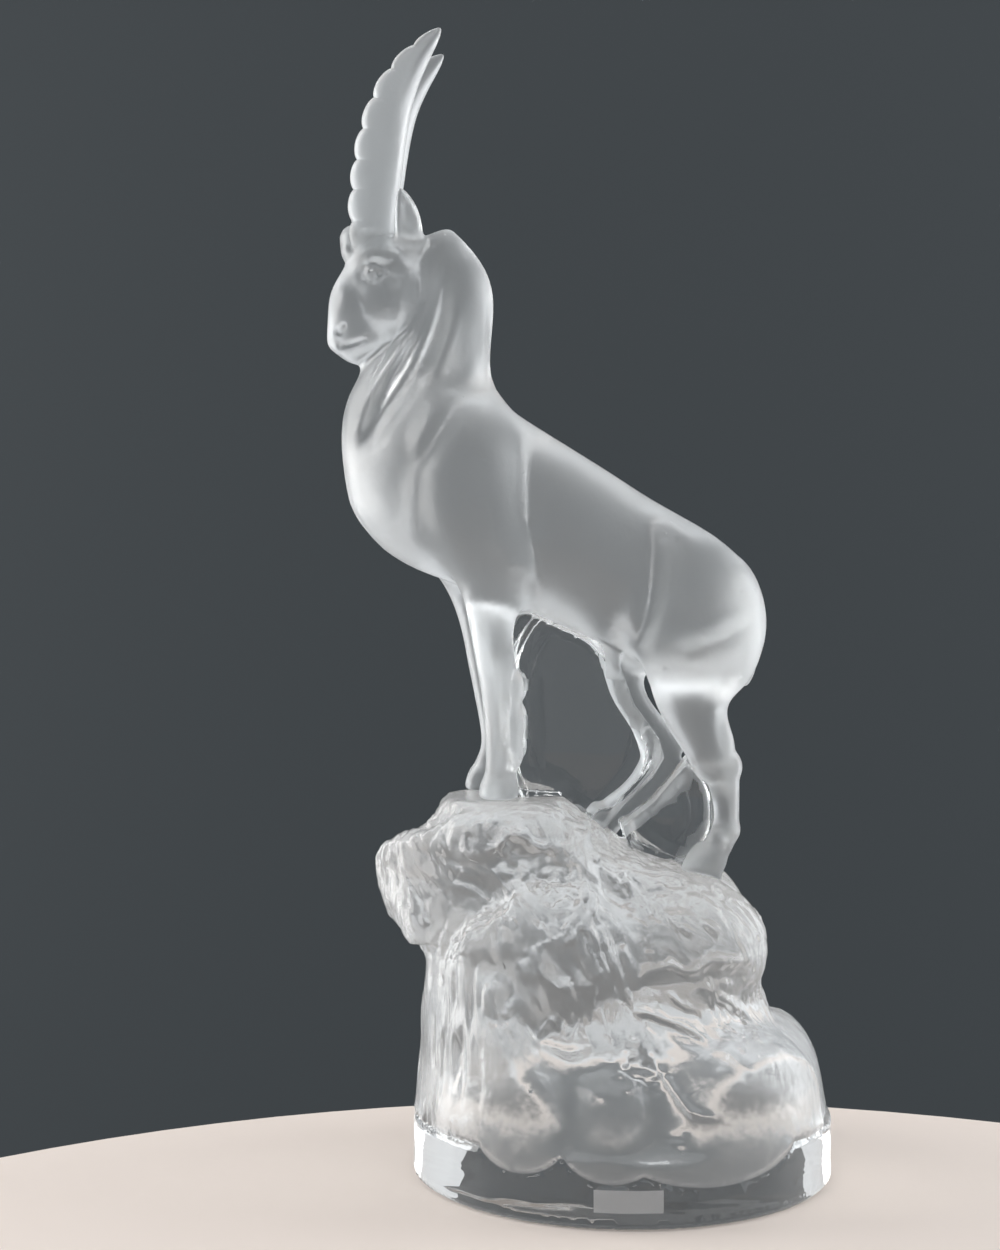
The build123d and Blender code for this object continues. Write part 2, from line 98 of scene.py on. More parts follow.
class Clay:
    """A block of space that holds, at evenly spaced points, each point's distance out from the glass's surface."""

    def __init__(self, low, high, step, reach=7.0):
        self.step = step
        self.reach = reach
        self.first = np.floor(np.array(low) / step).astype(int)
        counts = np.ceil(np.array(high) / step).astype(int) - self.first + 1
        self.distance = np.full(counts, reach, dtype=np.float32)

    def axes(self, start, stop):
        """The x, y and z of the points between two corners, shaped to be combined."""
        lines = [(self.first[i] + np.arange(start[i], stop[i])) * np.float32(self.step) for i in range(3)]
        return lines[0][:, None, None], lines[1][None, :, None], lines[2][None, None, :]

    def window(self, low, high):
        """The part of the block between two corners: its first and last points, and its slices."""
        start = np.maximum(np.floor(np.array(low) / self.step).astype(int) - self.first, 0)
        stop = np.minimum(np.ceil(np.array(high) / self.step).astype(int) - self.first + 1, self.distance.shape)
        return start, stop, tuple(slice(a, b) for a, b in zip(start, stop))

    def node(self, name):
        """The distances to one solid of the part, and the part of the block that they are for."""
        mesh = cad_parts[name].data
        mesh.calc_loop_triangles()
        points = np.empty(3 * len(mesh.vertices), np.float32)
        mesh.vertices.foreach_get("co", points)
        points = points.reshape(-1, 3) / MM
        triangles = np.empty(3 * len(mesh.loop_triangles), np.int32)
        mesh.loop_triangles.foreach_get("vertices", triangles)
        grid = openvdb.FloatGrid.createLevelSetFromPolygons(
            points,
            triangles=triangles.reshape(-1, 3).astype(np.uint32),
            transform=openvdb.createLinearTransform(voxelSize=self.step),
            halfWidth=self.reach / self.step,
        )
        start, stop, part = self.window(points.min(axis=0) - self.reach, points.max(axis=0) + self.reach)
        distances = np.empty(stop - start, np.float32)
        grid.copyToArray(distances, ijk=tuple(int(i) for i in start + self.first))
        return part, distances

    def join(self, name, blend):
        """Adds a solid of the part, run into what is there over a width of blend."""
        part, distances = self.node(name)
        self.distance[part] = soft_least(self.distance[part], distances, blend)

    def sculpt(self, form, blend, cut=False):
        """Adds a small form to the surface, or takes it away."""
        low, high, distance_to = form
        start, stop, part = self.window(low - blend, high + blend)
        if np.any(stop <= start):
            return
        distances = distance_to(*self.axes(start, stop)).astype(np.float32)
        if cut:
            self.distance[part] = -soft_least(-self.distance[part], distances, blend)
        else:
            self.distance[part] = soft_least(self.distance[part], distances, blend)

    def stroke(self, front, foot, stops, shape="soft", sides=(-1, 1)):
        """Raises or sinks the flanks along a line. A stop is (back, up, half the line's width, its rise)."""
        line = np.array(stops, float) + (front, foot, 0, 0)
        if len(line) == 1:
            line = np.vstack([line, line + (0.01, 0, 0, 0)])
        reach = line[:, 2].max() * 1.6
        low, high = line.min(axis=0) - reach, line.max(axis=0) + reach
        start, stop, part = self.window((low[0], -1000, low[1]), (high[0], 1000, high[1]))
        x, y, z = self.axes(start, stop)
        nearest = np.full((x + z).shape, np.inf)
        across = np.zeros_like(nearest)
        rise = np.zeros_like(nearest)
        for a, b in zip(line[:-1], line[1:]):
            along = b - a
            share = np.clip(((x - a[0]) * along[0] + (z - a[1]) * along[1]) / (along[0] ** 2 + along[1] ** 2), 0, 1)
            gap = np.hypot(x - a[0] - share * along[0], z - a[1] - share * along[1])
            closer = gap < nearest
            nearest = np.where(closer, gap, nearest)
            across = np.where(closer, gap / (a[2] + share * along[2]), across)
            rise = np.where(closer, a[3] + share * along[3], rise)
        if shape == "soft":
            height = np.exp(-2.2 * across ** 2)
        elif shape == "dome":
            height = np.sqrt(np.clip(1 - across ** 2, 0, 1))
        else:
            height = np.clip(1 - across, 0, 1) ** 1.5
        outward = np.gradient(self.distance[part], self.step, axis=1)
        for side in sides:
            facing = np.clip(side * outward, 0, 1) * (side * y > 0)
            self.distance[part] -= (rise * height * facing).astype(np.float32)

    def near_surface(self, within):
        """The points close to the surface: their places in the block, and their x, y and z."""
        places = np.nonzero(np.abs(self.distance) < within)
        spots = [(places[i] + self.first[i]) * self.step for i in range(3)]
        return places, spots

    def polish(self, width):
        """Rounds every edge by averaging each point with its neighbours."""
        reach = int(math.ceil(2 * width / self.step))
        steps = np.arange(-reach, reach + 1)
        weights = np.exp(-0.5 * (steps * self.step / width) ** 2)
        weights /= weights.sum()
        for axis in range(3):
            padded = np.pad(self.distance, [(reach, reach) if i == axis else (0, 0) for i in range(3)], mode="edge")
            total = np.zeros_like(self.distance)
            for step, weight in zip(steps, weights):
                window = [slice(None)] * 3
                window[axis] = slice(reach + step, reach + step + self.distance.shape[axis])
                total += weight * padded[tuple(window)]
            self.distance = total.astype(np.float32)

    def sample(self, field, spots):
        """A field's values at some spots, from the eight points round each."""
        at = spots / self.step - self.first
        at = np.clip(at, 0, np.array(field.shape) - 1.001)
        low = at.astype(int)
        share = at - low
        total = 0
        for i in (0, 1):
            for j in (0, 1):
                for k in (0, 1):
                    weight = np.abs(1 - i - share[:, 0]) * np.abs(1 - j - share[:, 1]) * np.abs(1 - k - share[:, 2])
                    total = total + weight * field[low[:, 0] + i, low[:, 1] + j, low[:, 2] + k]
        return total

    def mesh(self, name, thrift):
        """The surface as a smooth closed mesh, in metres. thrift above 0 spends fewer faces where it is even."""
        grid = openvdb.FloatGrid(self.reach)
        grid.copyFromArray(self.distance, ijk=tuple(int(i) for i in self.first))
        grid.transform = openvdb.createLinearTransform(voxelSize=self.step)
        grid.gridClass = openvdb.GridClass.LEVEL_SET
        points, triangles, quads = grid.convertToPolygons(isovalue=0.0, adaptivity=thrift)
        corners = points[quads]
        across = np.cross(corners[:, 2] - corners[:, 0], corners[:, 3] - corners[:, 1])
        if np.einsum("ij,ij", corners.mean(axis=1), across) < 0:
            quads = quads[:, ::-1]
            triangles = triangles[:, ::-1]
        starts = np.concatenate([np.arange(len(quads)) * 4, quads.size + np.arange(len(triangles)) * 3])
        mesh = bpy.data.meshes.new(name)
        mesh.vertices.add(len(points))
        mesh.vertices.foreach_set("co", (points * MM).astype(np.float32).ravel())
        mesh.loops.add(quads.size + triangles.size)
        mesh.loops.foreach_set("vertex_index", np.concatenate([quads.ravel(), triangles.ravel()]).astype(np.int32))
        mesh.polygons.add(len(starts))
        mesh.polygons.foreach_set("loop_start", starts.astype(np.int32))
        mesh.update(calc_edges=True)
        mesh.validate()
        mesh.shade_smooth()
        return mesh


EDGE_PROBE = 0.2            # how far to each side the finishes' field is read for its slope
LEAST_SLOPE = 0.05
LONGEST_SLIDE = 0.25


def two_finishes(mesh, first, second, share_of):
    """Gives a mesh two finishes, the second where share_of is below 0, with a clean edge between them."""
    mesh.materials.append(first)
    mesh.materials.append(second)
    points = np.empty(3 * len(mesh.vertices), np.float32)
    mesh.vertices.foreach_get("co", points)
    points = points.reshape(-1, 3) / MM
    centres = np.empty(3 * len(mesh.polygons), np.float32)
    mesh.polygons.foreach_get("center", centres)
    is_second = (share_of(centres.reshape(-1, 3) / MM) < 0).astype(np.int32)
    mesh.polygons.foreach_set("material_index", is_second)
    # each corner that both finishes touch slides along the skin until it lies on the edge
    faces = np.repeat(np.arange(len(mesh.polygons)), [len(face.vertices) for face in mesh.polygons])
    corners = np.empty(len(faces), np.int32)
    mesh.loops.foreach_get("vertex_index", corners)
    touches = np.zeros((2, len(points)), bool)
    touches[is_second[faces], corners] = True
    edge = np.nonzero(touches[0] & touches[1])[0]
    normals = np.empty(3 * len(mesh.vertices), np.float32)
    mesh.vertices.foreach_get("normal", normals)
    normals = normals.reshape(-1, 3)[edge]
    for _ in range(2):
        here = points[edge]
        value = share_of(here)
        probes = EDGE_PROBE * np.eye(3)
        slope = np.stack([share_of(here + step) - share_of(here - step) for step in probes], axis=1)
        slope /= 2 * EDGE_PROBE
        slope -= normals * (slope * normals).sum(axis=1, keepdims=True)
        steep = np.maximum((slope * slope).sum(axis=1), LEAST_SLOPE)
        move = -slope * (value / steep)[:, None]
        length = np.linalg.norm(move, axis=1, keepdims=True)
        points[edge] = here + move * np.minimum(1, LONGEST_SLIDE / np.maximum(length, 1e-6))
    mesh.vertices.foreach_set("co", (points * MM).astype(np.float32).ravel())
    mesh.update()


def soft_least(a, b, width):
    """The lesser of two distances, with the corner between them rounded over a width."""
    nearness = np.clip(1 - np.abs(a - b) / width, 0, 1)
    return np.minimum(a, b) - nearness * nearness * (width / 4)


def ball(middle, radii, lean=0.0):
    """An egg-shaped form. lean turns it about the side-to-side axis, in degrees."""
    middle = np.array(middle, float)
    radii = np.array(radii, float)
    reach = np.full(3, radii.max()) if lean else radii
    turn_cos, turn_sin = math.cos(math.radians(lean)), math.sin(math.radians(lean))

    def distance_to(x, y, z):
        along, up = x - middle[0], z - middle[2]
        u = (along * turn_cos + up * turn_sin) / radii[0]
        v = (y - middle[1]) / radii[1]
        w = (up * turn_cos - along * turn_sin) / radii[2]
        share = np.sqrt(u * u + v * v + w * w)
        steepness = np.sqrt((u / radii[0]) ** 2 + (v / radii[1]) ** 2 + (w / radii[2]) ** 2)
        return share * (share - 1) / np.maximum(steepness, 1e-6)

    return middle - reach, middle + reach, distance_to


def rod(*stops):
    """A round bar through some stops, each with its own radius: (x, y, z, radius)."""
    stops = np.array(stops, float)
    low = (stops[:, :3] - stops[:, 3:]).min(axis=0)
    high = (stops[:, :3] + stops[:, 3:]).max(axis=0)

    def distance_to(x, y, z):
        nearest = None
        for a, b in zip(stops[:-1], stops[1:]):
            along = b[:3] - a[:3]
            share = ((x - a[0]) * along[0] + (y - a[1]) * along[1] + (z - a[2]) * along[2]) / along.dot(along)
            share = np.clip(share, 0, 1)
            gap = np.sqrt(
                (x - a[0] - share * along[0]) ** 2
                + (y - a[1] - share * along[1]) ** 2
                + (z - a[2] - share * along[2]) ** 2
            )
            gap = gap - (a[3] + share * (b[3] - a[3]))
            nearest = gap if nearest is None else np.minimum(nearest, gap)
        return nearest

    return low, high, distance_to


def cloud(x, y, z, seed):
    """Smooth random heights from -1 to 1, with lumps about one unit across."""
    table = np.random.default_rng(seed).uniform(-1, 1, 4096)
    cells = [np.floor(v).astype(np.int64) for v in (x, y, z)]
    shares = [v - c for v, c in zip((x, y, z), cells)]
    shares = [s * s * (3 - 2 * s) for s in shares]
    total = 0
    for i in (0, 1):
        for j in (0, 1):
            for k in (0, 1):
                key = (cells[0] + i) * 73856093 ^ (cells[1] + j) * 19349663 ^ (cells[2] + k) * 83492791
                weight = 1
                for share, end in zip(shares, (i, j, k)):
                    weight = weight * (share if end else 1 - share)
                total = total + weight * table[key & 4095]
    return total


ROCK_NODES = [
    "rock_core", "rock_crag", "rock_ridge", "rock_shoulder", "buttress_rock", "front_boulder_small",
    "front_boulder_middle", "front_boulder_large", "end_boulder", "back_boulder", "back_buttress",
]
base_radius = base_high.x / MM
base_top = base_high.z / MM
rock_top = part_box("rock_core")[1].z / MM

rock_low = np.array(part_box("rock_crag")[0]) / MM
crag = Clay((rock_low[0] - 2, -base_radius - 2, -2), (base_radius + 2, base_radius + 2, rock_top + 3), ROCK_STEP)
for name in ROCK_NODES:
    crag.join(name, ROCK_CLAY)
crag.polish(ROCK_POLISH)

# the edge of the slab that the fore hooves stand on, and the white knob at its front end
crag.sculpt(rod((-38, -15, 68.6, 1.8), (-30, -21, 67.6, 1.4), (-24, -24, 69.6, 1.3), (-21.5, -24, 71.2, 1.2),
                (-18, -24, 69.4, 1.2), (-12, -22, 68.4, 1.2)), 2.2)
crag.sculpt(ball((-22.2, -25.6, 68.4), (2.4, 2.4, 1.7)), 1.4, cut=True)
crag.sculpt(ball((-33, -25.5, 60.5), (9.5, 5.0, 5.4), lean=-12), 3.0, cut=True)
# the nose's lit top facet, and the ridge that runs down from the slab's other end
crag.sculpt(rod((-48, -4, 66, 2.0), (-44, -10, 68, 2.0), (-40, -14, 69, 1.8)), 2.5)
crag.sculpt(rod((-9, -20, 70, 2.0), (-8, -25, 62, 2.0), (-9, -28, 55, 1.8), (-7, -31, 46, 1.6)), 4.0)

# flow lines on the rock's face: each stop is (back, up, half its width, its rise) from the rock's front lower corner
ROCK_LINES = [
    # in the scoop under the slab
    [(5.3, 54.4, 1.0, 0.2), (7.6, 52.6, 1.2, 0.8), (10.7, 51.4, 1.2, 0.8), (13.8, 50.7, 1.0, 0.2)],
    [(4.9, 52.3, 1.0, 0.3), (8.8, 49.2, 1.2, 0.8), (12.3, 48.1, 1.2, 0.7), (15.4, 45.7, 1.0, 0.2)],
    [(16.2, 51.6, 0.9, 0.2), (19.3, 48.4, 1.1, 0.6), (21.5, 44.0, 1.0, 0.2)],
    [(19.3, 55.4, 1.4, 0.3), (22.4, 52.3, 1.6, 1.0), (23.2, 48.0, 1.4, 0.3)],
    [(-1.5, 51.5, 1.2, 0.4), (1.0, 48.3, 1.4, -0.9), (3.0, 45.3, 1.2, -0.4)],
    # under the scoop: a smooth swell, and a pocket with a round lower edge
    [(11.0, 39.5, 4.0, 1.0), (14.0, 38.5, 3.4, 0.6)],
    [(13.5, 28.0, 1.0, -0.3), (15.6, 24.8, 1.2, -1.0), (19.0, 24.6, 1.1, -0.7), (22.0, 27.0, 1.0, -0.2)],
    [(16.0, 30.0, 3.6, 0.9)],
    # down the middle
    [(34.8, 55.0, 1.0, 0.3), (34.4, 49.0, 1.2, 0.8), (32.0, 43.7, 1.1, 0.4)],
    [(37.1, 51.1, 0.9, 0.3), (35.9, 46.0, 1.1, 0.8), (34.4, 42.0, 1.0, 0.2)],
    [(34.0, 43.8, 0.9, 0.3), (31.8, 40.2, 1.1, 0.9), (28.0, 38.6, 1.0, 0.2)],
    [(31.3, 41.4, 0.8, 0.2), (28.4, 40.0, 0.9, 0.6), (25.5, 39.0, 0.8, 0.2)],
    # the upper mass on the right stands out over a shelf
    [(50.1, 44.5, 1.2, 0.4), (54.0, 44.0, 1.6, 1.0), (60.1, 41.3, 1.4, 0.5)],
    [(50.1, 43.5, 1.1, 0.3), (54.0, 41.5, 1.3, 0.9), (58.2, 39.4, 1.1, 0.3)],
    [(44.6, 31.7, 1.0, 0.4), (46.2, 33.6, 1.3, 1.1), (50.8, 34.8, 1.3, 1.2), (53.6, 33.4, 1.3, 1.2),
     (55.5, 33.4, 1.3, 1.2), (58.2, 35.6, 1.4, 1.2), (66.3, 35.2, 1.2, 0.5)],
    [(46.0, 30.6, 1.8, -0.6), (52.0, 31.4, 2.0, -1.2), (58.5, 32.2, 2.0, -1.2), (66.0, 32.0, 1.6, -0.5)],
    # long ridges slanting down to the right
    [(42.3, 29.7, 1.2, 0.4), (44.3, 26.3, 1.5, 1.1), (49.6, 24.4, 1.6, 1.4), (55.1, 22.4, 1.5, 1.2),
     (59.8, 18.9, 1.2, 0.3)],
    [(50.1, 29.4, 0.9, 0.2), (53.0, 27.0, 1.1, 0.7), (56.4, 25.4, 0.9, 0.2)],
    [(58.2, 29.4, 1.2, 0.4), (62.9, 26.6, 1.5, 1.2), (68.3, 22.0, 1.6, 1.4), (74.5, 17.4, 1.2, 0.5)],
    [(55.9, 18.4, 0.9, 0.2), (61.2, 19.1, 1.2, 0.9), (66.1, 15.3, 1.0, 0.3)],
    [(46.0, 25.0, 1.6, -0.6), (52.0, 22.2, 2.0, -1.2), (59.0, 18.6, 1.8, -0.8)],
    # the crinkled dark patch, its polished pebble, and the thin edge of the large smooth lobe on the right
    [(33.0, 13.6, 2.2, 0.9), (36.5, 12.4, 2.0, 0.9)],
    [(46.6, 17.6, 0.9, 0.4), (50.2, 13.1, 1.1, 1.1), (53.2, 9.3, 1.1, 1.1), (59.3, 7.8, 0.9, 0.3)],
    [(45.0, 17.6, 1.8, -0.4), (48.0, 12.6, 2.2, -1.1), (51.0, 7.8, 2.0, -0.5)],
    [(24.7, 20.9, 0.9, 0.3), (27.8, 24.4, 1.2, 0.9), (30.4, 22.1, 1.1, 0.6)],
    [(25.5, 20.2, 0.9, 0.3), (31.2, 18.3, 1.2, 0.8), (34.6, 19.2, 0.9, 0.2)],
    [(74.8, 15.0, 1.0, -0.3), (74.6, 8.0, 1.1, -0.8), (75.0, 3.0, 1.0, -0.3)],
]
rock_front, rock_foot = -base_radius, base_top
for stops in ROCK_LINES:
    crag.stroke(rock_front, rock_foot, stops, sides=[-1])

# broken stone: broad facets, winding lines that run down the face, drips down the left column, and crumbs in patches
CRUMB_PATCHES = [           # (back, up, how wide, how high, how deep)
    (28.2, 49.5, 6.5, 7.0, 0.75),
    (50.1, 48.3, 3.2, 3.0, 0.8),
    (46.8, 36.0, 3.6, 3.0, 0.6),
    (44.5, 15.5, 7.5, 5.0, 0.8),
    (7.0, 31.0, 7.0, 7.0, 0.7),
    (52.0, 3.5, 4.0, 5.0, 0.5),
]
places, (x, y, z) = crag.near_surface(3.0)
height = z - base_top
smooth_foot = np.clip((height - 14) / 10, 0, 1)
left_column = np.clip((-25 - x) / 4, 0, 1) * np.clip((40 - height) / 8, 0, 1)
sway = cloud(x / 14, y / 14, z / 14, 7)
facets = (np.abs(cloud(x / 12, y / 12, z / 12, 1)) - 0.3) * 1.5 + cloud(x / 5, y / 5, z / 5, 2) * 0.35
lines_across = (x + 0.45 * z) / 2.6 + 1.6 * sway
winding = 0.45 - np.abs(cloud(lines_across, y / 2.6 - sway, z / 9 + sway, 3)) * 1.5
fine_winding = 0.35 - np.abs(cloud(lines_across * 1.9, y / 1.5, z / 4.5 - 2 * sway, 8)) * 1.2
drips = (np.abs(cloud(x / 1.9, y / 1.9, z / 14, 4)) - 0.3) * 1.5
crumbs = cloud(x / 1.25, y / 1.25, z / 1.25, 6)
crumb_share = np.clip(cloud(x / 8, y / 8, z / 8, 5) * 2.0 - 0.9, 0, 0.5) * smooth_foot
for back, up, wide, high, deep in CRUMB_PATCHES:
    off = np.hypot((x - rock_front - back) / wide, (height - up) / high)
    crumb_share = np.maximum(crumb_share, deep * np.exp(-1.6 * off * off) * (y < 0))
relief = smooth_foot * (facets + 0.75 * np.clip(winding, -0.2, 1) + 0.75 * np.clip(fine_winding, 0, 1))
relief = relief * (1 - 0.6 * np.clip(crumb_share, 0, 1)) + crumb_share * crumbs
outside = np.sqrt(x * x + y * y) - (base_radius - WALL_INSET)
off_wall = np.clip(-0.2 - outside / 2.5, 0, 1)
foothold = np.clip((rock_top + 0.5 - z) / 3, 0, 1)
crag.distance[places] += relief * foothold * np.where(height < 34, off_wall, 1) + left_column * np.maximum(drips, 0)


def rim_height(x, y):
    """How high the edge of the rock's lobes is on the base's wall, in the direction of a spot."""
    turns = np.degrees(np.arctan2(y, x))
    rim = np.full(turns.shape, base_top + PLAIN_RIM_RISE)
    spring = base_top + LOBE_SPRING
    for middle, half_width, lowest in LOW_LOBES:
        share = np.abs((turns - middle + 180) % 360 - 180) / half_width
        hang = (spring - lowest) * np.sqrt(np.clip(1 - share * share, 0, 1))
        rim = np.where(share < 1, np.minimum(rim, spring - hang), rim)
    return rim


# the mould's round wall holds the foot in
start, stop, part = crag.window((-1000, -1000, -1000), (1000, 1000, base_top + WALL_RISE))
x, y, z = crag.axes(start, stop)
outside = np.broadcast_to(np.sqrt(x * x + y * y) - (base_radius - WALL_INSET), crag.distance[part].shape)
softness = np.clip((z - base_top) / 5, 0.05, 2.6)
crag.distance[part] = -soft_least(-crag.distance[part], -outside, softness)
crag.join("base_disc", 2.6)
outside = np.sqrt(x * x + y * y) - base_radius
crag.distance[part] = np.maximum(crag.distance[part], outside)
# the lobes end on the wall in a fine rounded edge
groove_depth, groove_half_width = LOBE_EDGE
edge_groove = groove_depth * np.exp(-((z - rim_height(x, y)) / groove_half_width) ** 2)
edge_groove = edge_groove * np.clip(1 + outside / 2, 0, 1)
crag.distance[part] += edge_groove.astype(np.float32)
rock_mesh = crag.mesh("rock_and_base", 0.06)


def material(name):
    """A new material with its Principled shader and node tree to hand."""
    made = bpy.data.materials.new(name)
    made.use_nodes = True
    return made, made.node_tree, made.node_tree.nodes["Principled BSDF"]


def set_shader(shader, **values):
    """Sets the shader's sockets from words, with underscores for spaces."""
    for name, value in values.items():
        shader.inputs[name.replace("_", " ")].default_value = value


def bumps(tree, shader, layers, depth):
    """Raises the surface by noises: each layer is (size in metres, share, detail, stretch in x, y and z)."""
    place = tree.nodes.new("ShaderNodeTexCoord")
    total = None
    for size, share, detail, stretch in layers:
        fit = tree.nodes.new("ShaderNodeMapping")
        fit.inputs["Scale"].default_value = stretch
        noise = tree.nodes.new("ShaderNodeTexNoise")
        noise.inputs["Scale"].default_value = 1 / size
        noise.inputs["Detail"].default_value = detail
        noise.inputs["Roughness"].default_value = 0.6
        amount = tree.nodes.new("ShaderNodeMath")
        amount.operation = "MULTIPLY"
        amount.inputs[1].default_value = share
        tree.links.new(place.outputs["Object"], fit.inputs["Vector"])
        tree.links.new(fit.outputs["Vector"], noise.inputs["Vector"])
        tree.links.new(noise.outputs["Fac"], amount.inputs[0])
        if total is None:
            total = amount.outputs[0]
        else:
            add = tree.nodes.new("ShaderNodeMath")
            tree.links.new(total, add.inputs[0])
            tree.links.new(amount.outputs[0], add.inputs[1])
            total = add.outputs[0]
    bump = tree.nodes.new("ShaderNodeBump")
    bump.inputs["Distance"].default_value = depth
    tree.links.new(total, bump.inputs["Height"])
    tree.links.new(bump.outputs["Normal"], shader.inputs["Normal"])


satin_rock, tree, shader = material("rough_satin_crystal")
set_shader(shader, Base_Color=(0.95, 0.965, 0.97, 1), Roughness=0.27, IOR=1.52, Transmission_Weight=0.87)
bumps(tree, shader, [(0.004, 1.0, 2, (1, 1, 0.5)), (0.0008, 0.06, 2, (1, 1, 1))], 0.00035)

clear, tree, shader = material("clear_crystal")
set_shader(shader, Base_Color=(0.985, 0.995, 0.995, 1), Roughness=0.02, IOR=1.54, Transmission_Weight=1.0)
bumps(tree, shader, [(0.012, 1.0, 1, (1, 1, 1))], 0.00012)

rock_piece = bpy.data.objects.new("rock_and_base", rock_mesh)
bpy.context.scene.collection.objects.link(rock_piece)


def above_rim(spots):
    """How far a spot lies above the edge where the rock's satin stops and the polished base begins."""
    return spots[:, 2] - rim_height(spots[:, 0], spots[:, 1])


two_finishes(rock_mesh, satin_rock, clear, above_rim)
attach(rock_piece, "root")
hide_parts("base_disc", *ROCK_NODES)

# ---------------------------------------------------------------- the ibex and the clear crystal between its legs
# Body, legs, head, ears and beard are the same casting, etched to a fine even satin. The web of crystal that braces
# the legs is left bright, so that the belly's and legs' outlines read against it.

BODY_STEP = 0.32
BODY_FORMS = [              # the part's solids, and how far each runs into the ones before it
    ("torso", 1.0),
    ("neck", 7.0),
    ("head", 2.0),
    ("beard", 1.0),
    ("ear_left", 1.0),
    ("ear_right", 1.0),
    ("tail", 2.5),
    ("fore_leg_left", 6.0),
    ("fore_leg_right", 6.0),
    ("thigh_left", 8.0),
    ("thigh_right", 8.0),
    ("hind_leg_left", 1.2),
    ("hind_leg_right", 1.2),
    ("fore_hoof_left", 0.6),
    ("fore_hoof_right", 0.6),
    ("hind_hoof_left", 0.6),
    ("hind_hoof_right", 0.6),
]
WEB_NODES = ["web_front", "web_rear"]
FAR_LEG_Y = 10.2            # where the legs' middles are, out from the middle plane
WEB_EDGE = 0.25             # the clear face starts this far out from the satin
FINE_POLISH = 0.8
FLANK_POLISH = 1.8
FLANK_FADE_IN = (96, 18)    # the flanks' softening starts at this height and is full this much higher
FLANK_FADE_OUT = (150, 10)  # and it ends at this height, from this much lower
SIDES = {"left": -1, "right": 1}

body_low = np.array([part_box("head")[0].x, torso_low.y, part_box("hind_hoof_left")[0].z]) / MM
body_high = np.array([torso_high.x, torso_high.y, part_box("ear_left")[1].z]) / MM
ibex = Clay(body_low - [3, 5, 2], body_high + [3, 5, 3], BODY_STEP)
for name, blend in BODY_FORMS:
    ibex.join(name, blend)
ibex.polish(FINE_POLISH)
# the flanks are one soft surface, with no seam where a leg or a haunch runs into them
crisp = ibex.distance.copy()
ibex.polish(FLANK_POLISH)
x, y, z = ibex.axes((0, 0, 0), ibex.distance.shape)
on_flank = np.clip((z - FLANK_FADE_IN[0]) / FLANK_FADE_IN[1], 0, 1)
on_flank = on_flank * np.clip((FLANK_FADE_OUT[0] - z) / FLANK_FADE_OUT[1], 0, 1)
ibex.distance = (crisp + (ibex.distance - crisp) * on_flank).astype(np.float32)


def corner(node):
    """A solid's front lower corner, which the sculpting is measured back and up from."""
    low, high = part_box(node)
    return low.x / MM, low.z / MM


def stroke(node, stops, shape="soft", sides=SIDES):
    """Works the flanks along a line measured from a solid's corner, on both sides or on one."""
    ibex.stroke(*corner(node), stops, shape, [SIDES[name] for name in sides])


# shoulder, upper arm and elbow
stroke("torso", [(20, 47, 9, 0.9), (19, 38, 10, 1.5), (18, 29, 8, 1.1)])
stroke("torso", [(25.5, 44, 5, 0.6), (26.5, 34, 5, 1.1), (28, 25, 4, 0.9)])
stroke("torso", [(27.4, 59, 2.4, -0.2), (19, 53, 3.4, -1.0), (15.5, 46.5, 3.4, -1.2), (12, 40.5, 3.4, -1.2),
                 (11.6, 32.5, 3.4, -1.0), (16, 24, 3.0, -0.5)])
stroke("torso", [(32, 50, 5, -0.5), (33, 40, 5, -1.3), (33.6, 30, 4, -1.2)])
stroke("torso", [(33.4, 30, 1.6, -0.5), (34.8, 24, 1.8, -1.0), (35.4, 19, 1.6, -0.8)], "crease")
stroke("torso", [(31.5, 21.5, 3.0, 0.9)])
# ribs, flank, belly and haunch
stroke("torso", [(40, 40, 10, 0.6), (44, 30, 11, 1.3), (50, 20, 10, 0.9)])
stroke("torso", [(57, 33, 4, -0.4), (59, 25, 4, -1.2), (58.6, 18, 4, -1.6), (57.6, 11.5, 3, -1.4),
                 (56.2, 6.4, 2, -0.8)])
stroke("torso", [(58.9, 21, 2.6, -0.2), (58.4, 14, 2.8, -0.7), (57, 9, 2.4, -0.5)])
stroke("torso", [(52.5, 9.5, 5.5, 1.2)])
stroke("torso", [(67, 27, 9, 0.9), (66, 17, 9, 1.3), (64, 8, 7, 0.9)])
stroke("torso", [(78, 15.5, 3.4, -0.3), (71, 12, 3.4, -0.6), (63.5, 9, 3, -0.4)])
stroke("torso", [(79, 10, 2.6, 0.5), (72, 6.6, 2.8, 0.7), (65, 4, 2.4, 0.4)])
# neck: the mane's folds, from the ear and the jaw down to the breast
stroke("neck", [(21.5, 58, 4, -0.4), (19, 47, 5.5, -1.5), (14.5, 36, 5.5, -1.9), (9.0, 27, 5, -1.5),
                (5, 19, 4, -0.5)])
stroke("neck", [(25.5, 53, 5, 0.7), (24.0, 42, 5, 1.2), (20, 31, 5, 1.2), (16.5, 20, 4, 0.6)])
stroke("neck", [(17.0, 48, 1.6, 0.5), (11.5, 38.5, 2.2, 1.0), (7.0, 31, 2.2, 1.0), (4.0, 23, 2.0, 0.5)])
stroke("neck", [(11.5, 42.5, 1.0, -0.3), (8.0, 36.0, 1.1, -0.7), (5.6, 30.5, 0.9, -0.3)], "crease")
stroke("neck", [(14.5, 40.5, 1.1, -0.3), (11.0, 34.0, 1.3, -0.6), (8.4, 28.0, 1.0, -0.2)], "crease")
